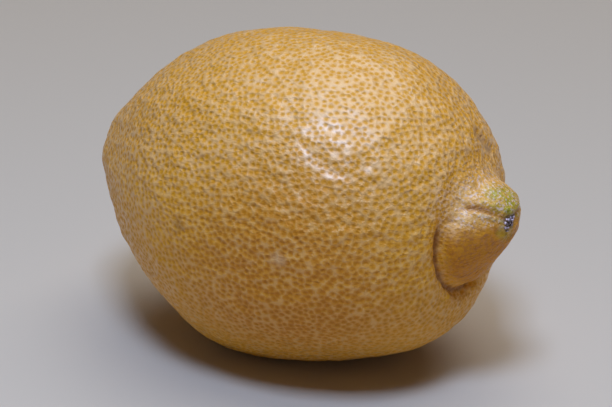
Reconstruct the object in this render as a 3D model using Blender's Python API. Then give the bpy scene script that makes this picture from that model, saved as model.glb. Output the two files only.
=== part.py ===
"""A ripe lemon, whole and in its rind, lying on its side on a small flat spot.

The fruit grew as one piece, so it is one solid: the dried calyx in its collar at the stem end,
the belly, and the nipple at the blossom end. A furrow cuts deep round the front and underside
of the nipple and runs out towards its back.

Metres, +Z up. X runs from the stem end to the nipple. The origin is the middle of the lemon's
outer box, on the surface that it lies on.
"""

import math

import bmesh
import bpy
import numpy as np
from mathutils import Vector, noise

# Driving dimensions
BELLY_RADIUS = 0.031
STEM_REACH = 0.0433
NIPPLE_REACH = 0.0450

# How many rows of faces run from end to end, and how many faces go round
ROWS = 68
COLUMNS = 80

# The outline from the stem end to the nipple's tip. Each station is how far it lies along the
# axis, as a share of the reach to that end, and its radius, as a share of the belly's.
STEM_END = (
    (-0.990, 0.000),  # middle of the stalk's scar
    (-1.000, 0.038),  # rim of the stalk's stub
    (-0.985, 0.058),  # foot of the stub
    (-0.978, 0.104),  # edge of the calyx
    (-0.962, 0.124),  # foot of the calyx
    (-0.960, 0.150),  # bottom of the ring that the calyx sits in
    (-0.976, 0.192),  # crest of the collar
    (-0.962, 0.250),  # shoulder of the collar
    (-0.920, 0.325),  # shallow neck
)
BELLY = (
    (-0.855, 0.420),
    (-0.745, 0.565),
    (-0.560, 0.770),
    (-0.320, 0.930),
    (0.000, 1.000),
    (0.235, 0.978),
    (0.420, 0.910),
    (0.580, 0.800),
    (0.690, 0.672),
)
# The blossom end has an outline for each side. On the deep side the rind swells over the
# furrow in a rim, and on the shallow side it runs on into the nipple.
DEEP_SIDE = (
    (0.732, 0.602),  # back of the shoulder
    (0.766, 0.520),  # outer shoulder of the rim
    (0.791, 0.430),  # crest of the rim
    (0.784, 0.375),  # inner wall of the furrow
    (0.760, 0.343),  # bottom of the furrow
    (0.778, 0.323),  # foot of the nipple
    (0.836, 0.302),
    (0.900, 0.240),  # flank of the nipple
    (0.952, 0.172),
    (0.985, 0.100),  # dome of the tip
    (0.997, 0.046),  # rim of the style's scar
    (0.988, 0.000),  # middle of the style's scar
)
SHALLOW_SIDE = (
    (0.732, 0.608),  # back of the shoulder
    (0.757, 0.552),
    (0.779, 0.490),  # where the furrow has run out
    (0.797, 0.426),
    (0.815, 0.372),
    (0.840, 0.322),  # foot of the nipple
    (0.880, 0.274),
    (0.922, 0.222),
    (0.960, 0.162),
    (0.985, 0.100),
    (0.997, 0.046),
    (0.988, 0.000),
)
# The furrow's deepest side, and how it runs out round the nipple: it is gone where the cosine
# of the angle from its deepest side has fallen to the first value, and full at the second.
# Angles go round the axis from the top, and towards the front.
DEEP_SIDE_ANGLE = math.radians(142)
FURROW_RUNS_OUT = -0.20, 0.65

# How far the fruit's middle line strays from a straight axis: along, sideways and up
MIDDLE_LINE = (
    (-1.00, 0.0003, 0.0006),
    (-0.70, 0.0003, 0.0006),
    (0.00, 0.0000, 0.0000),
    (0.60, 0.0000, 0.0000),
    (0.78, 0.0003, 0.0004),
    (1.00, 0.0010, 0.0047),
)

# Where the rind swells or sinks a little, off a turned shape: along the axis, radius, angle,
# height, and how far it spreads
SWELLINGS = (
    (-0.24, 0.96, math.radians(152), 0.0019, 0.013),  # low on the stem side
    (0.52, 0.86, math.radians(158), -0.0013, 0.015),  # low on the front
    (0.66, 0.71, math.radians(185), 0.0019, 0.015),  # under the nipple
    (0.42, 0.91, math.radians(-28), 0.0010, 0.016),  # top of the back
    (0.77, 0.51, math.radians(-38), -0.0006, 0.004),  # dent behind the nipple
    (0.82, 0.40, math.radians(20), 0.0006, 0.005),  # saddle above the nipple
    (0.86, 0.29, math.radians(78), 0.0009, 0.005),  # front of the nipple
)

# Broad unevenness of the rind, and the slight ribs that the segments push up
LUMP_HEIGHT = 0.00030
LUMP_WIDTH = 0.016
RIPPLE_HEIGHT = 0.00012
RIPPLE_WIDTH = 0.0075
RIND_RIBS = 9
RIND_RIB_HEIGHT = 0.00012

# Creases that run down the nipple to its tip, and the deepest of them
NIPPLE_CREASES = 8
NIPPLE_CREASE_DEPTH = 0.00020
CREASE_WANDER = 0.35
MAIN_CREASE_ANGLE = math.radians(52)
MAIN_CREASE_WIDTH = math.radians(10)
MAIN_CREASE_DEPTH = 0.00035

# The calyx is a star of five dried sepals, whose edge has this radius as a share of the
# belly's. Low folds run out from its collar.
SEPALS = 5
SEPAL_LENGTH = 0.0006
CALYX_EDGE = 0.114
CALYX_EDGE_WIDTH = 0.022
STEM_FOLDS = 9
STEM_FOLD_HEIGHT = 0.00014

# How far the underside is flattened where the fruit lies
FLAT_DEPTH = 0.0008

RIND_COLOUR = (0.72, 0.44, 0.09, 1.0)
RIND_ROUGHNESS = 0.42


def remove_everything():
    for obj in list(bpy.data.objects):
        bpy.data.objects.remove(obj)


def along_axis(share):
    """A share of the reach as a place on the axis, minus to the stem and plus to the nipple."""
    return share * (STEM_REACH if share < 0 else NIPPLE_REACH)


def smooth_line(places, points):
    """A natural cubic spline through the points, as a function of the place along it."""
    places = np.array(places, float)
    points = np.array(points, float)
    steps = np.diff(places)
    slopes = np.diff(points, axis=0) / steps[:, None]
    system = np.eye(len(places))
    right_side = np.zeros_like(points)
    for k in range(1, len(places) - 1):
        system[k, k - 1 : k + 2] = steps[k - 1], 2 * (steps[k - 1] + steps[k]), steps[k]
        right_side[k] = 6 * (slopes[k] - slopes[k - 1])
    bends = np.linalg.solve(system, right_side)

    def at(place):
        k = int(np.clip(np.searchsorted(places, place) - 1, 0, len(steps) - 1))
        near = (places[k + 1] - place) / steps[k]
        far = 1 - near
        curve = (near**3 - near) * bends[k] + (far**3 - far) * bends[k + 1]
        return near * points[k] + far * points[k + 1] + curve * steps[k] ** 2 / 6

    return at


def outline_of(side):
    """The whole outline with this side's blossom end: place along the axis, and radius."""
    return [(along_axis(share), radius * BELLY_RADIUS) for share, radius in STEM_END + BELLY + side]


def fade(value, start, end):
    """0 before start and 1 past end, with a smooth change between them."""
    share = min(1.0, max(0.0, (value - start) / (end - start)))
    return share * share * (3 - 2 * share)


def place_on_side(along, radius, angle):
    """The point this far along the axis and out from it, at this angle round it."""
    return Vector((along, -radius * math.sin(angle), radius * math.cos(angle)))


def make_skin():
    """The smooth fruit as a function of the row, from 0 to 1, and of the angle round it."""
    deep = outline_of(DEEP_SIDE)
    shallow = outline_of(SHALLOW_SIDE)
    spans = [math.dist(a, b) for a, b in zip(deep, deep[1:])]
    lengths = np.concatenate([[0], np.cumsum(spans)])
    # Short spans carry the detail, so they get more rows for their length.
    crowding = np.concatenate([[0], np.cumsum(np.sqrt(spans))])
    crowding /= crowding[-1]
    deep_line = smooth_line(lengths, deep)
    shallow_line = smooth_line(lengths, shallow)
    middle = smooth_line(
        [along_axis(share) for share, _, _ in MIDDLE_LINE],
        [(sideways, up) for _, sideways, up in MIDDLE_LINE],
    )

    hills = [
        (place_on_side(along_axis(share), radius * BELLY_RADIUS, angle), height, spread)
        for share, radius, angle, height, spread in SWELLINGS
    ]

    def skin(row, angle):
        length = float(np.interp(row, crowding, lengths))
        depth = fade(math.cos(angle - DEEP_SIDE_ANGLE), *FURROW_RUNS_OUT)
        along, radius = depth * deep_line(length) + (1 - depth) * shallow_line(length)
        here = place_on_side(along, radius, angle)
        for hill, height, spread in hills:
            radius += height * math.exp(-((here - hill).length_squared / spread**2))
        sideways, up = middle(along)
        return place_on_side(along, max(radius, 0.0), angle) + Vector((0, sideways, up))

    return skin


def belly_relief(place, angle):
    """Lumps, ripples and faint ribs of the rind, which fade out on the nipple."""
    belly = 1 - fade(place.x, along_axis(0.70), along_axis(0.80))
    lump = noise.noise(place / LUMP_WIDTH) * LUMP_HEIGHT
    ripple = noise.noise(place / RIPPLE_WIDTH) * RIPPLE_HEIGHT
    rib = math.cos(RIND_RIBS * angle) * RIND_RIB_HEIGHT
    return belly * (lump + ripple + rib)


def nipple_relief(place, angle):
    """Uneven creases that deepen towards the nipple's tip and run out just before its scar."""
    tip = 1 - fade(place.x, along_axis(0.965), along_axis(0.990))
    around = Vector((math.cos(angle), math.sin(angle), 0.0))
    wandering = angle + CREASE_WANDER * noise.noise(1.3 * around)
    crease = (math.cos(NIPPLE_CREASES * wandering) - 1) * NIPPLE_CREASE_DEPTH / 2
    crease *= 1 + noise.noise(1.7 * around + Vector((5, 0, 0)))
    turn = math.remainder(wandering - MAIN_CREASE_ANGLE, 2 * math.pi)
    main = -math.exp(-((turn / MAIN_CREASE_WIDTH) ** 2)) * MAIN_CREASE_DEPTH
    flank = fade(place.x, along_axis(0.84), along_axis(0.95))
    return tip * (flank * crease + fade(place.x, along_axis(0.82), along_axis(0.90)) * main)


def stem_relief(place, angle):
    """Folds that run out from the calyx over its collar and fade out on the belly."""
    near_stem = 1 - fade(place.x, along_axis(-0.95), along_axis(-0.80))
    outside_calyx = fade(place.yz.length, 0.16 * BELLY_RADIUS, 0.24 * BELLY_RADIUS)
    wandering = angle + CREASE_WANDER * math.sin(2 * angle)
    return near_stem * outside_calyx * math.cos(STEM_FOLDS * wandering) * STEM_FOLD_HEIGHT


def sepal_reach(place, angle):
    """How far the calyx's edge is pushed out, or in, to make its five points."""
    if place.x > along_axis(-0.94):
        return 0.0
    from_edge = (place.yz.length / BELLY_RADIUS - CALYX_EDGE) / CALYX_EDGE_WIDTH
    return math.exp(-(from_edge**2)) * math.cos(SEPALS * angle) * SEPAL_LENGTH


def shape_lemon():
    """A ball of rows and columns, drawn onto the skin and then given its relief."""
    mesh = bmesh.new()
    bmesh.ops.create_uvsphere(mesh, u_segments=COLUMNS, v_segments=ROWS, radius=1.0)
    skin = make_skin()
    angles = {}
    for vert in mesh.verts:
        row = math.acos(max(-1.0, min(1.0, -vert.co.z))) / math.pi
        angles[vert] = math.atan2(vert.co.y, vert.co.x)
        vert.co = skin(row, angles[vert])
    bmesh.ops.recalc_face_normals(mesh, faces=mesh.faces)
    mesh.normal_update()
    for vert, angle in angles.items():
        place = vert.co.copy()
        relief = belly_relief(place, angle) + nipple_relief(place, angle)
        relief += stem_relief(place, angle)
        vert.co += vert.normal * relief
        vert.co += place_on_side(0, sepal_reach(place, angle), angle)
    return mesh


def press_flat(mesh):
    """Flattens the underside where the fruit lies, and stands it on the origin's plane."""
    lowest = min(vert.co.z for vert in mesh.verts)
    ground = lowest + FLAT_DEPTH
    for vert in mesh.verts:
        vert.co.z = max(vert.co.z, ground) - ground


def centre_over_origin(mesh):
    for axis in (0, 1):
        places = [vert.co[axis] for vert in mesh.verts]
        middle = (min(places) + max(places)) / 2
        for vert in mesh.verts:
            vert.co[axis] -= middle


def rind_material():
    material = bpy.data.materials.new("lemon_rind")
    material.use_nodes = True
    shader = material.node_tree.nodes["Principled BSDF"]
    shader.inputs["Base Color"].default_value = RIND_COLOUR
    shader.inputs["Roughness"].default_value = RIND_ROUGHNESS
    shader.inputs["Metallic"].default_value = 0.0
    material.diffuse_color = RIND_COLOUR
    return material


def add_lemon():
    mesh = shape_lemon()
    press_flat(mesh)
    centre_over_origin(mesh)
    data = bpy.data.meshes.new("lemon")
    mesh.to_mesh(data)
    mesh.free()
    data.shade_smooth()
    data.materials.append(rind_material())
    lemon = bpy.data.objects.new("lemon", data)
    bpy.context.scene.collection.objects.link(lemon)
    return lemon


remove_everything()
add_lemon()
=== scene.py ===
"""Dresses a ripe lemon that lies on its side: its pebbled rind, the dry scar on its nipple and
the dried calyx at its stem end."""

import math

import bmesh
import bpy
import numpy as np
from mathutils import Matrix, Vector, noise
from mathutils.bvhtree import BVHTree


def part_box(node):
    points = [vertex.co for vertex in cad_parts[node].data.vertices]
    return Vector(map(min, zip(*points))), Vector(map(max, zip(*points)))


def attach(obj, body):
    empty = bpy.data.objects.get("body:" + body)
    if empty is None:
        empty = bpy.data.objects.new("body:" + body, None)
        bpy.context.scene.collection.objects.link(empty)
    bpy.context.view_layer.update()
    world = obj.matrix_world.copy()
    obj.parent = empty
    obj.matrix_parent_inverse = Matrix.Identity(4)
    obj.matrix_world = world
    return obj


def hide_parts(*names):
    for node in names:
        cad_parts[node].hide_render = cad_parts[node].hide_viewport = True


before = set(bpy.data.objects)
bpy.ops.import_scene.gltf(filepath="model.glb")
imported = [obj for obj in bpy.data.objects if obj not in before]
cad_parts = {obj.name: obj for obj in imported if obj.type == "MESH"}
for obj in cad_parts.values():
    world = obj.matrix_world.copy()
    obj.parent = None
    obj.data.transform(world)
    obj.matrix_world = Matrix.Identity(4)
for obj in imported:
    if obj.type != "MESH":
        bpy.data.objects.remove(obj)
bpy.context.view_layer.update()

# The rind. A waxy skin about 5 mm thick, full of oil glands that show as darker dots, each in
# a slight dimple, with a paler net of skin between them. It grew in one piece with the fruit,
# from the calyx to the tip of the nipple.
MM_PER_M = 1000.0
stem_corner, nipple_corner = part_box("lemon")
MIDDLE = (stem_corner + nipple_corner) / 2
HALF_LENGTH = (nipple_corner.x - stem_corner.x) / 2
HALF_WIDTH = (nipple_corner.z - stem_corner.z) / 2
NIPPLE_LENGTH = 0.0095
CAGE_LEVEL = 2
GLAND_SPACING = 0.00098
NIPPLE_GLAND_SPACING = 0.00072
GLAND_TRIES = 4.0
GLAND_SHARES = 3
GLAND_SEED = 7
PEBBLE_HEIGHT = 0.00042
PEBBLE_WIDTH = 0.0030
PEBBLE_STRETCH = (0.55, 1.0, 1.0)
DIMPLE_DEPTH = 0.00008
DIMPLE_RADIUS = 0.00058
FACES_ALONG = 148
FACES_ACROSS = 116
HOLLOW_ROUNDS = 14


class Tree:
    """A node tree, and the one way that nodes are added to it."""

    def __init__(self, nodes):
        self.nodes = nodes

    def node(self, kind, settings=None, sockets=None, output=0):
        """Adds a node, changes its settings, fills its sockets, and gives one of its outputs."""
        node = self.nodes.nodes.new(kind)
        for name, value in (settings or {}).items():
            setattr(node, name, value)
        for key, value in (sockets or {}).items():
            if isinstance(value, Wire):
                self.nodes.links.new(value.socket, node.inputs[key])
            else:
                node.inputs[key].default_value = value
        return Wire(self, node.outputs[output]) if len(node.outputs) else None

    def math(self, operation, *values):
        return self.node("ShaderNodeMath", {"operation": operation}, dict(enumerate(values)))

    def vector(self, operation, *values, output=0):
        settings = {"operation": operation}
        return self.node("ShaderNodeVectorMath", settings, dict(enumerate(values)), output)

    def scaled(self, vector, factor):
        settings = {"operation": "SCALE"}
        return self.node("ShaderNodeVectorMath", settings, {0: vector, "Scale": factor})

    def distance(self, first, second):
        return self.vector("DISTANCE", first, second, output="Value")

    def ramp(self, value, start, end, low=0.0, high=1.0):
        """A smooth change from low to high as the value goes from start to end."""
        sockets = {"Value": value, "From Min": start, "From Max": end, "To Min": low, "To Max": high}
        return self.node("ShaderNodeMapRange", {"interpolation_type": "SMOOTHSTEP"}, sockets)

    def place(self):
        """Where a point of the piece is, in millimetres."""
        return self.scaled(self.node("ShaderNodeTexCoord", output="Object"), MM_PER_M)

    def stored(self, name, output="Fac"):
        return self.node("ShaderNodeAttribute", {"attribute_name": name}, output=output)

    def mixed(self, share, first, second):
        """A colour that goes from the first to the second with the share."""
        return self.node("ShaderNodeMix", {"data_type": "RGBA"}, {0: share, 6: first, 7: second}, 2)

    def cloud(self, place, width, detail=2.0, stretch=(1.0, 1.0, 1.0)):
        """Noise with patches about this wide, in millimetres."""
        place = self.vector("MULTIPLY", place, stretch)
        sockets = {"Vector": place, "Scale": 1 / width, "Detail": detail, "Roughness": 0.55}
        return self.node("ShaderNodeTexNoise", {}, sockets)


class Wire:
    """An output of a node. Arithmetic on wires and numbers adds the Math nodes it needs."""

    def __init__(self, tree, socket):
        self.tree = tree
        self.socket = socket

    def other(self, name):
        """Another output of the same node."""
        return Wire(self.tree, self.socket.node.outputs[name])

    def __add__(self, value):
        return self.tree.math("ADD", self, value)

    __radd__ = __add__

    def __mul__(self, value):
        return self.tree.math("MULTIPLY", self, value)

    __rmul__ = __mul__

    def __sub__(self, value):
        return self.tree.math("SUBTRACT", self, value)

    def __rsub__(self, value):
        return self.tree.math("SUBTRACT", value, self)

    def __truediv__(self, value):
        return self.tree.math("DIVIDE", self, value)

    def __rtruediv__(self, value):
        return self.tree.math("DIVIDE", value, self)


def smooth_copy(node_name):
    """The CAD node's surface as a mesh of its own, joined up and with its faces paired again."""
    pairing_angle = math.radians(60)
    cage = bmesh.new()
    cage.from_mesh(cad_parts[node_name].data)
    bmesh.ops.remove_doubles(cage, verts=cage.verts, dist=1e-6)
    bmesh.ops.join_triangles(
        cage,
        faces=cage.faces,
        angle_face_threshold=pairing_angle,
        angle_shape_threshold=pairing_angle,
    )
    mesh = bpy.data.meshes.new(node_name + "_cage")
    cage.to_mesh(mesh)
    cage.free()
    return mesh


def named_inputs(nodes, inputs):
    """Gives a geometry tree its sockets: the surface in and out, and a named input per size."""
    nodes.interface.new_socket("Surface", in_out="INPUT", socket_type="NodeSocketGeometry")
    for name, kind, value in inputs:
        socket = nodes.interface.new_socket(name, in_out="INPUT", socket_type="NodeSocket" + kind)
        socket.default_value = value
    nodes.interface.new_socket("Surface", in_out="OUTPUT", socket_type="NodeSocketGeometry")


def grown_mesh(name, cage, nodes, values):
    """Runs a geometry tree on a cage with these input values and keeps the result as a mesh."""
    grower = bpy.data.objects.new(name + "_grower", cage)
    bpy.context.scene.collection.objects.link(grower)
    modifier = grower.modifiers.new("growth", "NODES")
    modifier.node_group = nodes
    for item in nodes.interface.items_tree:
        if item.in_out == "INPUT" and item.name in values:
            modifier[item.identifier] = values[item.name]
    depsgraph = bpy.context.evaluated_depsgraph_get()
    grown = grower.evaluated_get(depsgraph)
    mesh = bpy.data.meshes.new_from_object(
        grown, preserve_all_data_layers=True, depsgraph=depsgraph
    )
    mesh.name = name
    grower.modifiers.remove(modifier)
    bpy.data.objects.remove(grower)
    piece = bpy.data.objects.new(name, mesh)
    bpy.context.scene.collection.objects.link(piece)
    return piece


def rind_growth(finish):
    """The tree that pebbles the fruit, sows its glands and lays an even skin over it."""
    nodes = bpy.data.node_groups.new("rind_growth", "GeometryNodeTree")
    named_inputs(
        nodes,
        (
            ("Gland Spacing", "Float", GLAND_SPACING),
            ("Nipple Gland Spacing", "Float", NIPPLE_GLAND_SPACING),
            ("Pebble Height", "Float", PEBBLE_HEIGHT),
            ("Pebble Width", "Float", PEBBLE_WIDTH),
            ("Dimple Depth", "Float", DIMPLE_DEPTH),
            ("Dimple Radius", "Float", DIMPLE_RADIUS),
            ("Faces Along", "Int", FACES_ALONG),
            ("Faces Across", "Int", FACES_ACROSS),
            ("Seed", "Int", GLAND_SEED),
        ),
    )
    tree = Tree(nodes)
    inputs = tree.node("NodeGroupInput")
    position = tree.node("GeometryNodeInputPosition")
    axes = tree.node("ShaderNodeSeparateXYZ", {}, {0: position})
    normal = tree.node("GeometryNodeInputNormal")

    fruit = tree.node(
        "GeometryNodeSubdivisionSurface", {}, {"Mesh": inputs, "Level": CAGE_LEVEL}
    )
    pebbles = tree.node(
        "ShaderNodeTexNoise",
        {"noise_dimensions": "3D"},
        {
            "Vector": tree.vector("MULTIPLY", position, PEBBLE_STRETCH),
            "Scale": 1 / inputs.other("Pebble Width"),
            "Detail": 1.5,
            "Roughness": 0.5,
        },
    )
    rise = (pebbles - 0.5) * 2 * inputs.other("Pebble Height")
    fruit = tree.node(
        "GeometryNodeSetPosition", {}, {"Geometry": fruit, "Offset": tree.scaled(normal, rise)}
    )

    # The glands, sown closer together on the nipple
    on_nipple = tree.node(
        "FunctionNodeCompare",
        {"data_type": "FLOAT", "operation": "GREATER_THAN"},
        {"A": axes.other("X"), "B": nipple_corner.x - NIPPLE_LENGTH},
    )
    on_belly = tree.node("FunctionNodeBooleanMath", {"operation": "NOT"}, {0: on_nipple})
    glands = tree.node("GeometryNodeJoinGeometry")
    for where, name in ((on_belly, "Gland Spacing"), (on_nipple, "Nipple Gland Spacing")):
        spacing = inputs.other(name)
        sown = tree.node(
            "GeometryNodeDistributePointsOnFaces",
            {"distribute_method": "POISSON"},
            {
                "Mesh": fruit,
                "Selection": where,
                "Distance Min": spacing,
                "Density Max": GLAND_TRIES / (spacing * spacing),
                "Seed": inputs.other("Seed"),
            },
        )
        nodes.links.new(sown.socket, glands.socket.node.inputs[0])

    # An even net of faces: a box is blown up to a ball, stretched to the fruit's proportions
    # and shrunk onto the fruit from outside
    along = inputs.other("Faces Along") + 1
    across = inputs.other("Faces Across") + 1
    net = tree.node(
        "GeometryNodeMeshCube",
        {},
        {"Size": (2.0, 2.0, 2.0), "Vertices X": along, "Vertices Y": across, "Vertices Z": across},
    )
    bent = [tree.math("TANGENT", axes.other(axis) * (math.pi / 4)) for axis in ("X", "Y", "Z")]
    ball = tree.vector("NORMALIZE", tree.node("ShaderNodeCombineXYZ", {}, dict(enumerate(bent))))
    egg = tree.vector("MULTIPLY", ball, (HALF_LENGTH, HALF_WIDTH, HALF_WIDTH))
    outward = tree.vector("NORMALIZE", egg)
    hit = tree.node(
        "GeometryNodeRaycast",
        {},
        {
            "Target Geometry": fruit,
            "Source Position": tree.vector("ADD", tree.scaled(outward, 2 * HALF_LENGTH), MIDDLE),
            "Ray Direction": tree.scaled(outward, -1.0),
            "Ray Length": 4 * HALF_LENGTH,
        },
        "Hit Position",
    )

    # No point of the skin goes below the surface that the fruit lies on
    skin = tree.vector("MAXIMUM", hit, (-1.0, -1.0, 0.0))
    skin = tree.node("GeometryNodeSetPosition", {}, {"Geometry": net, "Position": skin})

    # How hollow the skin is round each point, from how far its neighbours' average stands off; the
    # finish paints shade into the hollows with it
    averaged = tree.node(
        "GeometryNodeBlurAttribute",
        {"data_type": "FLOAT_VECTOR"},
        {"Value": position, "Iterations": HOLLOW_ROUNDS},
    )
    stand_off = tree.vector("SUBTRACT", averaged, position)
    hollow = tree.vector("DOT_PRODUCT", stand_off, normal, output="Value")
    skin = tree.node(
        "GeometryNodeStoreNamedAttribute",
        {"data_type": "FLOAT", "domain": "POINT"},
        {"Geometry": skin, "Name": "hollow", "Value": hollow * MM_PER_M},
    )

    # Over each gland of the belly the skin dips
    gap = tree.node("GeometryNodeProximity", {"target_element": "POINTS"}, {0: glands}, "Distance")
    dip = tree.ramp(gap, inputs.other("Dimple Radius"), 0.0) * inputs.other("Dimple Depth")
    skin = tree.node(
        "GeometryNodeSetPosition",
        {},
        {"Geometry": skin, "Selection": on_belly, "Offset": tree.scaled(normal, dip * -1)},
    )

    # Each face keeps the nearest gland of each share of them, for the finish to choose from
    turn = tree.math("MODULO", tree.node("GeometryNodeInputIndex"), float(GLAND_SHARES))
    for share in range(GLAND_SHARES):
        own = tree.node(
            "FunctionNodeCompare",
            {"data_type": "FLOAT", "operation": "EQUAL"},
            {"A": turn, "B": float(share), "Epsilon": 0.1},
        )
        sown = tree.node(
            "GeometryNodeSeparateGeometry",
            {"domain": "POINT"},
            {"Geometry": glands, "Selection": own},
        )
        nearest = tree.node("GeometryNodeSampleNearest", {"domain": "POINT"}, {"Geometry": sown})
        centre = tree.node(
            "GeometryNodeSampleIndex",
            {"data_type": "FLOAT_VECTOR", "domain": "POINT"},
            {"Geometry": sown, "Value": position, "Index": nearest},
        )
        skin = tree.node(
            "GeometryNodeStoreNamedAttribute",
            {"data_type": "FLOAT_VECTOR", "domain": "FACE"},
            {"Geometry": skin, "Name": f"gland_{share}", "Value": centre},
        )
    skin = tree.node("GeometryNodeSetShadeSmooth", {}, {"Geometry": skin})
    skin = tree.node("GeometryNodeRealizeInstances", {}, {"Geometry": skin})
    skin = tree.node("GeometryNodeSetMaterial", {}, {"Geometry": skin, "Material": finish})
    tree.node("NodeGroupOutput", {}, {0: skin})
    return nodes


# Colours of the net of skin, of the glands in it, and of the marks on both, some of them painted light
# and painted shade
NET_DEEP = (0.850, 0.420, 0.045, 1)
NET_PINK = (0.860, 0.450, 0.100, 1)
# Painted light: the net paler towards the top of the fruit, where the light falls
NET_LIT_TOP = (0.930, 0.550, 0.260, 1)
NET_FRECKLE = (0.790, 0.360, 0.020, 1)
# Painted shade: the net darker and deeper amber on the lower front of the belly
NET_SHADED_FRONT = (0.680, 0.272, 0.006, 1)
# The net's own paler knots between the glands, made paler still as painted glints
NET_KNOT_AND_GLINT = (0.890, 0.560, 0.230, 1)
NET_GREEN = (0.430, 0.390, 0.004, 1)
GLAND_DEEP = (0.760, 0.335, 0.004, 1)
GLAND_PINK = (0.790, 0.365, 0.012, 1)
# Painted shade: the glands darker on the lower front of the belly
GLAND_SHADED_FRONT = (0.550, 0.182, 0.000, 1)
GLAND_PORE = (0.500, 0.190, 0.000, 1)
GLAND_GREEN = (0.250, 0.215, 0.002, 1)
AMBER = (0.780, 0.310, 0.001, 1)
DARK_AMBER = (0.520, 0.175, 0.000, 1)
# Painted light: the pinkish foot of the nipple made pale, as if lit there
NIPPLE_FOOT_LIT = (0.970, 0.590, 0.310, 1)
NIPPLE_BROW = (0.780, 0.460, 0.060, 1)
# Painted shade: the nipple's underside darker
NIPPLE_UNDERSIDE_SHADE = (0.500, 0.170, 0.000, 1)
# Painted light: the nipple's upper side paler
NIPPLE_LIT_TOP = (0.960, 0.620, 0.200, 1)
# Painted glints: pale lilac flecks on the nipple's upper side
NIPPLE_GLINT = (0.900, 0.700, 0.640, 1)
WAX = (0.560, 0.520, 0.380, 1)
# Painted shade in the hollows of the skin, the furrow round the nipple among them
HOLLOW_SHADE_BROWN = (0.300, 0.115, 0.045, 1)
# Painted shade in the creases
CREASE_SHADE = (0.470, 0.160, 0.001, 1)
# Painted shade along the fold
FOLD_SHADE = (0.400, 0.180, 0.050, 1)
BRUISE_BROWN = (0.260, 0.130, 0.050, 1)
SCUFF_PALE = (0.760, 0.540, 0.330, 1)
# Painted shade: near black under and round the scar's crumbs, where the gaps between them are in shade
SCAR_GAP_SHADE = (0.050, 0.022, 0.012, 1)

# The smallest and largest gland, as shares of a common one
GLAND_SIZES = (0.76, 1.28)

# The common gland's dot, how far its edge wanders, and the finest relief, in millimetres
DOT_RADIUS = 0.64
DOT_WANDER = 0.65
DIMPLE_RELIEF = 0.11
KNOT_RELIEF = 0.05
GRAIN_RELIEF = 0.07
RIPPLE_RELIEF = 0.22
WAVE_RELIEF = 0.55
SWELL_RELIEF = 0.9
FOLD_RELIEF = 0.35

# Places on the fruit, in millimetres, and spots on it, each with its place and radius
# The middle of the lower front of the belly, which is painted darker as shade
SHADED_FRONT_PLACE = (14.0, -28.0, 26.0)
NIPPLE_AXIS = (0.0, 0.3, 31.0)
# Where the nipple's foot gets its painted light
LIT_FOOT_SPOT = ((36.0, -7.5, 38.5), 5.4)
BROW_SPOT = ((41.0, -2.5, 40.0), 3.2)
GREEN_SPOT = ((43.2, 0.2, 38.6), 4.3)
LOWER_GREEN_SPOT = ((43.6, -1.6, 33.4), 2.4)
BRUISE = ((-7.6, -30.4, 32.9), 1.5)
SCUFF = ((13.5, -29.7, 31.0), 1.6)
# Where the painted shade round the scar's crumbs lies
SCAR_EDGE = ((44.1, -0.9, 35.2), 1.7)


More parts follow.
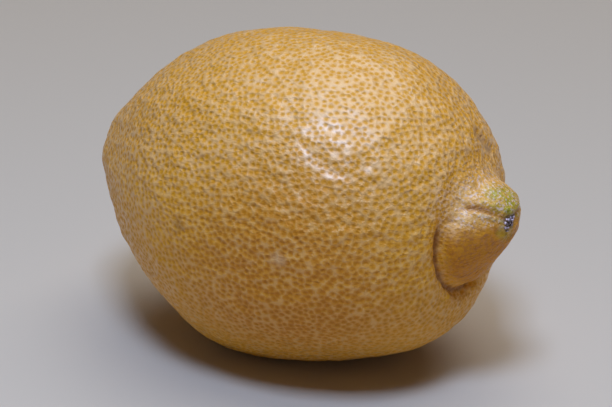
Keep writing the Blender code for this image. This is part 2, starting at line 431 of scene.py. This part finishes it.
def rind_finish():
    """The rind's finish: a dot for each gland in a paler net, the nipple's colours, and marks.

    Every place and length in it is in millimetres.
    """
    material = bpy.data.materials.new("lemon_rind")
    material.use_nodes = True
    material.node_tree.nodes.clear()
    tree = Tree(material.node_tree)
    place = tree.place()
    axes = tree.node("ShaderNodeSeparateXYZ", {}, {0: place})
    along = axes.other("X")
    up = axes.other("Z")
    tip = nipple_corner.x * MM_PER_M
    ragged = tree.cloud(place, 1.8, 3.0)

    def near(spot, radius):
        """How near a place is to a spot on the fruit, 1 at the spot, with a ragged edge."""
        gap = tree.distance(place, spot)
        return tree.ramp(gap + (ragged - 0.5) * radius * 1.6, radius * 1.35, radius * 0.3)

    # How far each place is from the nearest oil gland, and a random number for each gland
    gland = tree.scaled(tree.stored("gland_0", "Vector"), MM_PER_M)
    reach = tree.distance(place, gland)
    for share in range(1, GLAND_SHARES):
        other = tree.scaled(tree.stored(f"gland_{share}", "Vector"), MM_PER_M)
        other_reach = tree.distance(place, other)
        nearer = tree.math("LESS_THAN", other_reach, reach)
        gland = tree.node("ShaderNodeMix", {"data_type": "VECTOR"}, {0: nearer, 4: gland, 5: other}, 1)
        reach = tree.math("MINIMUM", other_reach, reach)
    chance = tree.node("ShaderNodeTexWhiteNoise", {"noise_dimensions": "3D"}, {"Vector": gland})
    smallest, largest = GLAND_SIZES
    wander = tree.cloud(place, 0.5, 2.0, (0.7, 1.0, 1.0)) - 0.5
    reach = reach / (smallest + chance * (largest - smallest)) + wander * DOT_WANDER
    dot = tree.ramp(reach, DOT_RADIUS, 0.16)
    pore = tree.ramp(reach, 0.30, 0.00)
    knot = tree.ramp(reach, 0.58, 0.86)
    dimple = tree.ramp(reach, DOT_RADIUS, 0.05)

    # Where the nipple and its underside are, how hollow the skin is, and the lower front of the belly;
    # the underside, the hollows and the lower front all get painted shade
    on_nipple = tree.ramp(along, tip - NIPPLE_LENGTH * MM_PER_M, tip - 7.0)
    shaded_underside = on_nipple * tree.ramp(up, 35.0, 29.0)
    upper = tree.ramp(up, 34.0, 36.5)
    shaded_hollows = tree.ramp(tree.stored("hollow") + (ragged - 0.5) * 0.18, 0.02, 0.50)
    shaded_front = tree.ramp(tree.distance(place, SHADED_FRONT_PLACE), 30.0, 8.0)

    # The net between the glands: paler and pinker in patches, with paler knots; painted light pales it
    # towards the top, painted shade darkens it on the lower front, and the knots are partly painted
    # glints
    patches = tree.ramp(tree.cloud(place, 14.0), 0.35, 0.65)
    freckles = tree.ramp(tree.cloud(place, 2.4), 0.35, 0.65)
    net = tree.mixed(patches, NET_DEEP, NET_PINK)
    # Painted light: the net turns paler towards the top of the fruit
    net = tree.mixed(tree.ramp(up, 30.0, 46.0) * 0.5, net, NET_LIT_TOP)
    net = tree.mixed(freckles * 0.45, net, NET_FRECKLE)
    # Painted shade: the net and the glands darker and deeper amber on the lower front of the belly
    net = tree.mixed(shaded_front * 0.8, net, NET_SHADED_FRONT)
    # The knots: partly the net's own paler tone, partly painted glints
    net = tree.mixed(knot * 0.35, net, NET_KNOT_AND_GLINT)
    glands = tree.mixed(patches, GLAND_DEEP, GLAND_PINK)
    glands = tree.mixed(shaded_front * 0.85, glands, GLAND_SHADED_FRONT)
    glands = tree.mixed(pore * 0.3, glands, GLAND_PORE)

    # The nipple: pinkish at its foot, with painted light that makes the foot pale, mottled amber
    # below, with painted shade on its underside, yellow green round the tip, and on its upper side
    # painted light and pale flecks that are painted glints
    mottled = tree.mixed(tree.ramp(tree.cloud(place, 1.6, 3.0), 0.40, 0.62), AMBER, DARK_AMBER)
    net = tree.mixed(on_nipple * tree.ramp(axes.other("Y"), 6.0, 0.0, 0.35, 0.95), net, mottled)
    # Painted light at the nipple's foot
    net = tree.mixed(near(*LIT_FOOT_SPOT) * 0.85, net, NIPPLE_FOOT_LIT)
    net = tree.mixed(near(*BROW_SPOT) * 0.4, net, NIPPLE_BROW)
    # Painted shade on the nipple's underside
    net = tree.mixed(shaded_underside * 0.75, net, NIPPLE_UNDERSIDE_SHADE)
    # Painted light on the nipple's upper side
    net = tree.mixed(on_nipple * upper * 0.45, net, NIPPLE_LIT_TOP)
    streaks = tree.ramp(tree.cloud(place, 0.9, 2.0, (0.5, 1.0, 1.0)), 0.35, 0.62)
    green = near(*GREEN_SPOT) * (0.35 + streaks * 0.6) + near(*LOWER_GREEN_SPOT) * 0.5
    net = tree.mixed(green, net, NET_GREEN)
    glands = tree.mixed(green, glands, GLAND_GREEN)
    # Painted glints: pale flecks on the nipple's upper side
    painted_glints = tree.ramp(tree.cloud(place, 0.48, 1.0, (0.8, 1.0, 1.0)), 0.52, 0.62)
    net = tree.mixed(painted_glints * on_nipple * upper * 0.75, net, NIPPLE_GLINT)
    colour = tree.mixed(dot * (1 - on_nipple * 0.5), net, glands)

    # Marks: flakes of wax, a bruise and a pale scuff, and painted shade in the hollows of the skin
    # such as the furrow, in the creases, along the fold, and near black under and round the scar's
    # crumbs
    wax = tree.stored("wax") * tree.ramp(tree.cloud(place, 0.7), 0.35, 0.6)
    colour = tree.mixed(wax * 0.7, colour, WAX)
    # Painted shade in the hollows of the skin
    colour = tree.mixed(shaded_hollows * 0.75, colour, HOLLOW_SHADE_BROWN)
    # Painted shade in the creases
    colour = tree.mixed(tree.stored("crease") * 0.9, colour, CREASE_SHADE)
    # Painted shade along the fold
    colour = tree.mixed(tree.stored("fold") * 0.45, colour, FOLD_SHADE)
    colour = tree.mixed(near(*BRUISE) * 0.4, colour, BRUISE_BROWN)
    colour = tree.mixed(near(*SCUFF) * 0.4, colour, SCUFF_PALE)
    # Painted shade under and round the scar's crumbs
    colour = tree.mixed(near(*SCAR_EDGE) * 0.9, colour, SCAR_GAP_SHADE)

    # The finest relief, from a dimple in each gland to waves a few millimetres wide
    grain = tree.cloud(place, 0.32, 3.0)
    waves = tree.cloud(place, 1.4, 3.0, (0.5, 1.0, 1.0))
    ripples = tree.cloud(place, 0.55, 2.0, (0.7, 1.0, 1.0))
    swells = tree.cloud(place, 3.6, 2.0, (0.6, 1.0, 1.0))
    height = dimple * -DIMPLE_RELIEF * (1 - on_nipple * 0.45) + knot * KNOT_RELIEF
    height = height + grain * GRAIN_RELIEF + waves * WAVE_RELIEF
    height = height + ripples * (RIPPLE_RELIEF + on_nipple * 0.05)
    height = height + swells * (SWELL_RELIEF - on_nipple * 0.6)

    # Folds that run up out of the furrow, away from the nipple
    off_axis = tree.vector("MULTIPLY", tree.vector("SUBTRACT", place, NIPPLE_AXIS), (0.0, 1.0, 1.0))
    spread = tree.vector("LENGTH", off_axis, output="Value")
    around = tree.scaled(tree.vector("NORMALIZE", off_axis), 11.0)
    spokes = tree.vector("ADD", around, tree.scaled(off_axis, 0.30))
    folds = tree.node("ShaderNodeTexNoise", {}, {"Vector": spokes, "Scale": 1.0, "Detail": 2.0})
    round_nipple = tree.ramp(along, tip - 17.0, tip - 10.5) * tree.ramp(spread, 3.0, 7.0)
    height = height + (folds - 0.5) * round_nipple * FOLD_RELIEF
    relief = {"Strength": 1.0, "Distance": 1 / MM_PER_M, "Height": height}

    # The bloom of wax is thickest on the net of skin and on the fruit's upper side, and thin in
    # the furrow and under the nipple
    gloss = (1 - dot * 0.75) * (1 - shaded_hollows) * tree.ramp(up, 24.0, 46.0, 0.12, 0.80)
    gloss = gloss * (1 - shaded_underside * 0.8)
    surface = tree.node(
        "ShaderNodeBsdfPrincipled",
        {},
        {
            "Base Color": colour,
            "Roughness": 0.34 + dot * 0.28 + shaded_hollows * 0.2,
            "Normal": tree.node("ShaderNodeBump", {}, relief),
            "IOR": 1.5,
            "Specular IOR Level": 0.35,
            "Coat Weight": gloss,
            "Coat Roughness": 0.38,
            "Coat IOR": 1.8,
        },
    )
    tree.node("ShaderNodeOutputMaterial", {}, {"Surface": surface})
    return material


def draw_line(piece, points, half_width, height, mark=None):
    """Raises or sinks a line over a piece's surface. A mark stores how near each point is to it."""
    mesh = piece.data
    places = np.empty(len(mesh.vertices) * 3)
    mesh.vertices.foreach_get("co", places)
    places = places.reshape(-1, 3)
    normals = np.array([vertex.normal for vertex in mesh.vertices])
    gap = np.full(len(places), 1.0)
    for start, end in zip(points, points[1:]):
        start = np.array(start)
        step = np.array(end) - start
        share = np.clip((places - start) @ step / (step @ step), 0.0, 1.0)
        gap = np.minimum(gap, np.linalg.norm(places - start - share[:, None] * step, axis=1))
    near = np.clip(1.0 - gap / half_width, 0.0, 1.0)
    near = near * near * (3.0 - 2.0 * near)
    places += normals * (near * height)[:, None]
    mesh.vertices.foreach_set("co", places.ravel())
    if mark:
        if mark not in mesh.attributes:
            mesh.attributes.new(mark, "FLOAT", "POINT")
        store = mesh.attributes[mark].data
        held = np.empty(len(places))
        store.foreach_get("value", held)
        store.foreach_set("value", np.maximum(held, near))
    mesh.update()


rind = grown_mesh(
    "rind",
    smooth_copy("lemon"),
    rind_growth(rind_finish()),
    {"Gland Spacing": GLAND_SPACING, "Seed": GLAND_SEED},
)

# The waxy welt that runs over the nipple to the scar, and the flakes of wax below the scar
WELT = (
    (0.0405, -0.0056, 0.0371),
    (0.0419, -0.0043, 0.0367),
    (0.0428, -0.0033, 0.0364),
    (0.0435, -0.0024, 0.0359),
)
FLAKES = ((0.0432, -0.0029, 0.0346), (0.0438, -0.0017, 0.0341), (0.0440, -0.0008, 0.0338))
draw_line(rind, WELT, half_width=0.0007, height=0.00022, mark="wax")
draw_line(rind, FLAKES, half_width=0.0007, height=0.00010, mark="wax")

# The crease above the welt, and a shorter one on the far side of the scar; the finish paints shade
# along both
CREASE = (
    (0.0383, -0.0062, 0.0383),
    (0.0397, -0.0052, 0.0381),
    (0.0410, -0.0042, 0.03765),
    (0.0422, -0.0034, 0.0371),
    (0.0430, -0.0027, 0.0366),
    (0.0436, -0.0020, 0.0360),
)
BACK_CREASE = ((0.0440, 0.0004, 0.0357), (0.0440, 0.0018, 0.0362), (0.0434, 0.0036, 0.0366))
draw_line(rind, CREASE, half_width=0.00085, height=-0.00060, mark="crease")
draw_line(rind, BACK_CREASE, half_width=0.0007, height=-0.00040, mark="crease")

# The fold in the belly, up behind the nipple, along which the finish paints shade
UPPER_FOLD = ((0.0330, 0.0066, 0.0473), (0.0337, 0.0081, 0.0452), (0.0341, 0.0101, 0.0427))
draw_line(rind, UPPER_FOLD, half_width=0.0018, height=-0.00070, mark="fold")

# The pit that holds the scar
SCAR = (0.0440, -0.0007, 0.0350)
SCAR_TOP = (0.0441, -0.0004, 0.0354)
draw_line(rind, (SCAR, SCAR_TOP), half_width=0.0012, height=-0.00035)

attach(rind, "root")
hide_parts("lemon")

# The scar on the nipple's tip. The flower's style dried up and broke off here, and left a pit
# full of hard crumbs, dark in their hollows and a greyish lilac outside, that stay stuck to the
# rind.
SCAR_RADIUS = 0.00150
SCAR_HEIGHT_SHARE = 1.15
SCAR_DOME = 0.00030
SCAR_LEAN = 0.0002
SCAR_SINK = 0.00034
SCAR_CORNERS = 24
CRUMB_RADIUS = 0.00026
CRUMB_SIZES = (0.6, 1.35)
CRUMB_SPACING = 0.00054
CRUMB_TRIES = 6.0
CRUMB_SEED = 3
LUMP_SCALE = 3600.0
LUMP_HEIGHT = 0.00040
FULL_TURN = 6.28
SCAR_DARK = (0.050, 0.030, 0.035, 1)
SCAR_PALE = (1.000, 0.800, 1.000, 1)


def crumb_growth(finish):
    """The tree that heaps crumbs of random size and turn over a patch."""
    nodes = bpy.data.node_groups.new("crumb_growth", "GeometryNodeTree")
    named_inputs(
        nodes,
        (
            ("Crumb Radius", "Float", CRUMB_RADIUS),
            ("Crumb Spacing", "Float", CRUMB_SPACING),
            ("Seed", "Int", CRUMB_SEED),
        ),
    )
    tree = Tree(nodes)
    inputs = tree.node("NodeGroupInput")
    spacing = inputs.other("Crumb Spacing")
    seed = inputs.other("Seed")
    spots = tree.node(
        "GeometryNodeDistributePointsOnFaces",
        {"distribute_method": "POISSON"},
        {
            "Mesh": inputs,
            "Distance Min": spacing,
            "Density Max": CRUMB_TRIES / (spacing * spacing),
            "Seed": seed,
        },
    )

    # One crumb: a small ball with lumps all over it
    ball = {"Radius": inputs.other("Crumb Radius"), "Subdivisions": 3}
    crumb = tree.node("GeometryNodeMeshIcoSphere", {}, ball)
    position = tree.node("GeometryNodeInputPosition")
    grain = {"Vector": position, "Scale": LUMP_SCALE, "Detail": 3.0}
    lumps = tree.node("ShaderNodeTexNoise", {}, grain, "Color")
    offset = tree.scaled(tree.vector("SUBTRACT", lumps, (0.5, 0.5, 0.5)), LUMP_HEIGHT)
    crumb = tree.node("GeometryNodeSetPosition", {}, {"Geometry": crumb, "Offset": offset})
    crumb = tree.node("GeometryNodeSetShadeSmooth", {}, {"Geometry": crumb})

    smallest, largest = CRUMB_SIZES
    size = tree.node(
        "FunctionNodeRandomValue",
        {"data_type": "FLOAT"},
        {2: smallest, 3: largest, "Seed": seed},
        1,
    )
    turn = tree.node(
        "FunctionNodeRandomValue",
        {"data_type": "FLOAT_VECTOR"},
        {1: (FULL_TURN, FULL_TURN, FULL_TURN), "Seed": seed},
    )
    heap = tree.node(
        "GeometryNodeInstanceOnPoints",
        {},
        {"Points": spots, "Instance": crumb, "Rotation": turn, "Scale": size},
    )
    heap = tree.node("GeometryNodeRealizeInstances", {}, {"Geometry": heap})
    heap = tree.node("GeometryNodeSetMaterial", {}, {"Geometry": heap, "Material": finish})
    tree.node("NodeGroupOutput", {}, {0: heap})
    return nodes


def dry_finish(name, dark, pale, heart, patch, roughness, shine):
    """Dead plant matter: two colours in patches over a rough grain, and a third at its heart."""
    material = bpy.data.materials.new(name)
    material.use_nodes = True
    material.node_tree.nodes.clear()
    tree = Tree(material.node_tree)
    place = tree.place()
    share = tree.ramp(tree.cloud(place, patch, 4.0), 0.38, 0.66)
    grain = tree.cloud(place, patch * 0.4, 3.0)
    relief = {"Strength": 1.0, "Distance": 1 / MM_PER_M, "Height": grain * patch * 0.2}
    surface = tree.node(
        "ShaderNodeBsdfPrincipled",
        {},
        {
            "Base Color": tree.mixed(tree.stored("heart"), tree.mixed(share, dark, pale), heart),
            "Roughness": roughness + share * 0.1,
            "Normal": tree.node("ShaderNodeBump", {}, relief),
            "Coat Weight": shine,
            "Coat Roughness": 0.2,
        },
    )
    tree.node("ShaderNodeOutputMaterial", {}, {"Surface": surface})
    return material


def scar_patch():
    """The patch of the nipple's tip that the crumbs stick to, slightly domed."""
    patch = bmesh.new()
    centre = patch.verts.new((SCAR[0] + SCAR_DOME, SCAR[1], SCAR[2] + SCAR_LEAN))
    rim = []
    for step in range(SCAR_CORNERS):
        angle = math.tau * step / SCAR_CORNERS
        radius = SCAR_RADIUS * (1.0 + 0.18 * math.sin(2 * angle + 0.8))
        y = SCAR[1] + radius * math.cos(angle)
        z = SCAR[2] + radius * SCAR_HEIGHT_SHARE * math.sin(angle)
        rim.append(patch.verts.new((SCAR[0] - SCAR_SINK, y, z)))
    for first, second in zip(rim, rim[1:] + rim[:1]):
        patch.faces.new((centre, first, second))
    mesh = bpy.data.meshes.new("scar_patch")
    patch.to_mesh(mesh)
    patch.free()
    return mesh


scar_finish = dry_finish(
    "dry_scar", SCAR_DARK, SCAR_PALE, heart=SCAR_DARK, patch=0.55, roughness=0.40, shine=0.6
)
scar = grown_mesh("style_scar", scar_patch(), crumb_growth(scar_finish), {"Seed": CRUMB_SEED})
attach(scar, "root")

# The calyx at the stem end. A dried brown button of five pointed sepals that stays on the fruit
# when it is cut from the tree, with the pale stub of the stem in its middle.
SEPALS = 5
SEPAL_NOTCH = 0.0031
SEPAL_POINT = 0.0043
POINT_SHARPNESS = 1.4
SEPAL_THICKNESS = 0.00045
SEPAL_CURL = 0.00075
CURL_START = 0.62
SEPAL_BULGE = 0.00035
SEPAL_LUMPS = 0.00018
SEPAL_WRINKLES = 0.00012
SEAM_DEPTH = 0.00045
SEAM_START = 0.45
SEAM_WIDTH = 0.006
STUB_RADIUS = 0.0013
STUB_HEIGHT = 0.00070
STUB_EDGE = 0.0003
STUB_DIP = 0.55
PITH_RADIUS = STUB_RADIUS * 0.9
PITH_EDGE = 0.0004
RIM_RADIUS = STUB_RADIUS * 1.35
RIM_HEIGHT = 0.00035
RIM_WIDTH = 0.00030
CALYX_SINK = 0.00012
CALYX_RINGS = 26
CALYX_COLUMNS = 120
CALYX_DARK = (0.200, 0.090, 0.022, 1)
CALYX_PALE = (0.560, 0.330, 0.090, 1)
STUB_PALE = (0.800, 0.560, 0.290, 1)
STEM_END_DEPTH = 0.0006
fruit_points = [vert.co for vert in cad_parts["lemon"].data.vertices]
stem_points = [point for point in fruit_points if point.x < stem_corner.x + STEM_END_DEPTH]
STEM_Y = sum(point.y for point in stem_points) / len(stem_points)
STEM_Z = sum(point.z for point in stem_points) / len(stem_points)


def calyx_mesh():
    """A closed five-pointed cap that follows the rind below it."""
    skin = BVHTree.FromObject(rind, bpy.context.evaluated_depsgraph_get())
    cap = bmesh.new()
    heart = cap.verts.layers.float.new("heart")

    def corner(ring, column, upper):
        """A point of the cap's upper or lower side, by its ring and its column."""
        share = ring / CALYX_RINGS
        angle = math.tau * column / CALYX_COLUMNS
        turn = (column * SEPALS / CALYX_COLUMNS) % 1.0
        point = (1.0 - abs(2.0 * turn - 1.0)) ** POINT_SHARPNESS
        edge = SEPAL_NOTCH + (SEPAL_POINT - SEPAL_NOTCH) * point
        wander = noise.noise((3.0 * math.cos(angle), 3.0 * math.sin(angle), 0.5))
        radius = share * edge * (1.0 + 0.10 * wander)
        y = STEM_Y + radius * math.cos(angle)
        z = STEM_Z + radius * math.sin(angle)
        hit = skin.ray_cast(Vector((stem_corner.x - 0.01, y, z)), Vector((1.0, 0.0, 0.0)))[0]
        if not upper:
            return (hit.x + CALYX_SINK, y, z)
        lift = SEPAL_THICKNESS * (1.0 - 0.55 * share ** 6)
        lift += SEPAL_CURL * max(share - CURL_START, 0.0) ** 1.5 * 4.0 * point
        lift += SEPAL_BULGE * math.sin(math.pi * share) * point
        lift += SEPAL_LUMPS * noise.noise((y * 2600, z * 2600, 4.0))
        lift += SEPAL_WRINKLES * noise.noise((angle * 5.0, radius * 900, 9.0)) * share
        in_seam = math.exp(-(min(turn, 1.0 - turn) ** 2) / SEAM_WIDTH)
        lift -= SEAM_DEPTH * in_seam * max(share - SEAM_START, 0.0)
        lift += RIM_HEIGHT * math.exp(-(((radius - RIM_RADIUS) / RIM_WIDTH) ** 2))
        on_stub = min(max((STUB_RADIUS - radius) / STUB_EDGE, 0.0), 1.0)
        lift += on_stub * STUB_HEIGHT * (1.0 - STUB_DIP * max(1.0 - radius / STUB_RADIUS, 0.0))
        return (hit.x - lift, y, z)

    neighbours = [(column, (column + 1) % CALYX_COLUMNS) for column in range(CALYX_COLUMNS)]
    edges = []
    for upper in (True, False):
        middle = cap.verts.new(corner(0, 0, upper))
        side = [
            [cap.verts.new(corner(ring, column, upper)) for column in range(CALYX_COLUMNS)]
            for ring in range(1, CALYX_RINGS + 1)
        ]
        for first, second in neighbours:
            cap.faces.new((middle, side[0][first], side[0][second]))
            for inner, outer in zip(side, side[1:]):
                cap.faces.new((inner[first], outer[first], outer[second], inner[second]))
        edges.append(side[-1])
    upper_edge, lower_edge = edges
    for first, second in neighbours:
        cap.faces.new(
            (upper_edge[first], lower_edge[first], lower_edge[second], upper_edge[second])
        )
    bmesh.ops.recalc_face_normals(cap, faces=cap.faces)
    for vert in cap.verts:
        radius = math.hypot(vert.co.y - STEM_Y, vert.co.z - STEM_Z)
        vert[heart] = min(max((PITH_RADIUS - radius) / PITH_EDGE, 0.0), 1.0)
    mesh = bpy.data.meshes.new("calyx")
    cap.to_mesh(mesh)
    cap.free()
    for face in mesh.polygons:
        face.use_smooth = True
    return mesh


calyx = bpy.data.objects.new("calyx", calyx_mesh())
bpy.context.scene.collection.objects.link(calyx)
calyx_finish = dry_finish(
    "dry_calyx", CALYX_DARK, CALYX_PALE, heart=STUB_PALE, patch=0.9, roughness=0.62, shine=0.1
)
calyx.data.materials.append(calyx_finish)
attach(calyx, "root")

# The floor. A plain, pale, matt sheet under the fruit, which sweeps up into a wall far off all
# round it, as a photographer's paper does.
FLOOR_REACH = 3.0
FLOOR_SIDES = 64
FLOOR_COLOUR = (0.60, 0.54, 0.465, 1)
FLOOR_ROUGHNESS = 0.85
SWEEP_RADIUS = 1.5
SWEEP_STEPS = 12
SWEEP_HEIGHT = 4.0
sheet = bmesh.new()
profile = [Vector((0.0, 0.0, 0.0)), Vector((FLOOR_REACH, 0.0, 0.0))]
for step in range(1, SWEEP_STEPS + 1):
    angle = math.radians(90 * step / SWEEP_STEPS)
    reach = SWEEP_RADIUS * math.sin(angle)
    rise = SWEEP_RADIUS * (1 - math.cos(angle))
    profile.append(Vector((FLOOR_REACH + reach, 0.0, rise)))
profile.append(Vector((FLOOR_REACH + SWEEP_RADIUS, 0.0, SWEEP_HEIGHT)))
points = [sheet.verts.new(place) for place in profile]
edges = [sheet.edges.new(pair) for pair in zip(points, points[1:])]
bmesh.ops.spin(
    sheet,
    geom=points + edges,
    cent=(0, 0, 0),
    axis=(0, 0, 1),
    angle=math.tau,
    steps=FLOOR_SIDES,
    use_duplicate=False,
)
bmesh.ops.remove_doubles(sheet, verts=sheet.verts, dist=1e-5)

# Each face turns towards a point well above the fruit
for face in sheet.faces:
    face.smooth = True
    if face.normal.dot(Vector((0, 0, 1)) - face.calc_center_median() * 0.3) < 0:
        face.normal_flip()
floor_mesh = bpy.data.meshes.new("floor")
sheet.to_mesh(floor_mesh)
sheet.free()
floor_material = bpy.data.materials.new("floor")
floor_material.use_nodes = True
floor_shader = floor_material.node_tree.nodes["Principled BSDF"]
floor_shader.inputs["Base Color"].default_value = FLOOR_COLOUR
floor_shader.inputs["Roughness"].default_value = FLOOR_ROUGHNESS
floor_mesh.materials.append(floor_material)
floor = bpy.data.objects.new("floor", floor_mesh)
bpy.context.scene.collection.objects.link(floor)

# The camera stands in front and above, about a third of the way round from the fruit's side
# to its nipple, with a long lens.
CAMERA_TURN = math.radians(32.8)
CAMERA_RISE = math.radians(22.7)
CAMERA_DISTANCE = 0.42
CAMERA_AIM = Vector((0.0005, -0.0005, 0.0286))
CAMERA_LENS = 130.7
CAMERA_SENSOR = 36.0
toward_camera = Vector(
    (
        math.sin(CAMERA_TURN) * math.cos(CAMERA_RISE),
        -math.cos(CAMERA_TURN) * math.cos(CAMERA_RISE),
        math.sin(CAMERA_RISE),
    )
)
camera_data = bpy.data.cameras.new("camera")
camera_data.lens = CAMERA_LENS
camera_data.sensor_width = CAMERA_SENSOR
camera_data.clip_start = 0.01
camera = bpy.data.objects.new("camera", camera_data)
camera.location = CAMERA_AIM + toward_camera * CAMERA_DISTANCE
camera.rotation_euler = toward_camera.to_track_quat("Z", "Y").to_euler()
bpy.context.scene.collection.objects.link(camera)
bpy.context.scene.camera = camera

# The lights. A soft box with a cool cloth close above and in front of the fruit, a broad one
# high up behind, and a little light from all round.
WORLD_TINT = (0.9, 0.92, 1.0, 1)
WORLD_STRENGTH = 0.04


def soft_box(name, place, size, power, tint):
    """A square area light that faces the fruit."""
    data = bpy.data.lights.new(name, "AREA")
    data.shape = "SQUARE"
    data.size = size
    data.energy = power
    data.color = tint
    box = bpy.data.objects.new(name, data)
    box.location = place
    box.rotation_euler = (Vector(place) - MIDDLE).to_track_quat("Z", "Y").to_euler()
    bpy.context.scene.collection.objects.link(box)


soft_box("key", place=(0.09, -0.18, 0.45), size=0.12, power=1.65, tint=(0.52, 0.68, 1.0))
soft_box("top", place=(0.0, 0.90, 3.0), size=3.0, power=56.0, tint=(1.0, 0.97, 0.94))
world = bpy.data.worlds.new("studio")
world.use_nodes = True
backdrop = world.node_tree.nodes["Background"]
backdrop.inputs["Color"].default_value = WORLD_TINT
backdrop.inputs["Strength"].default_value = WORLD_STRENGTH
bpy.context.scene.world = world
bpy.context.scene.view_settings.view_transform = "Standard"
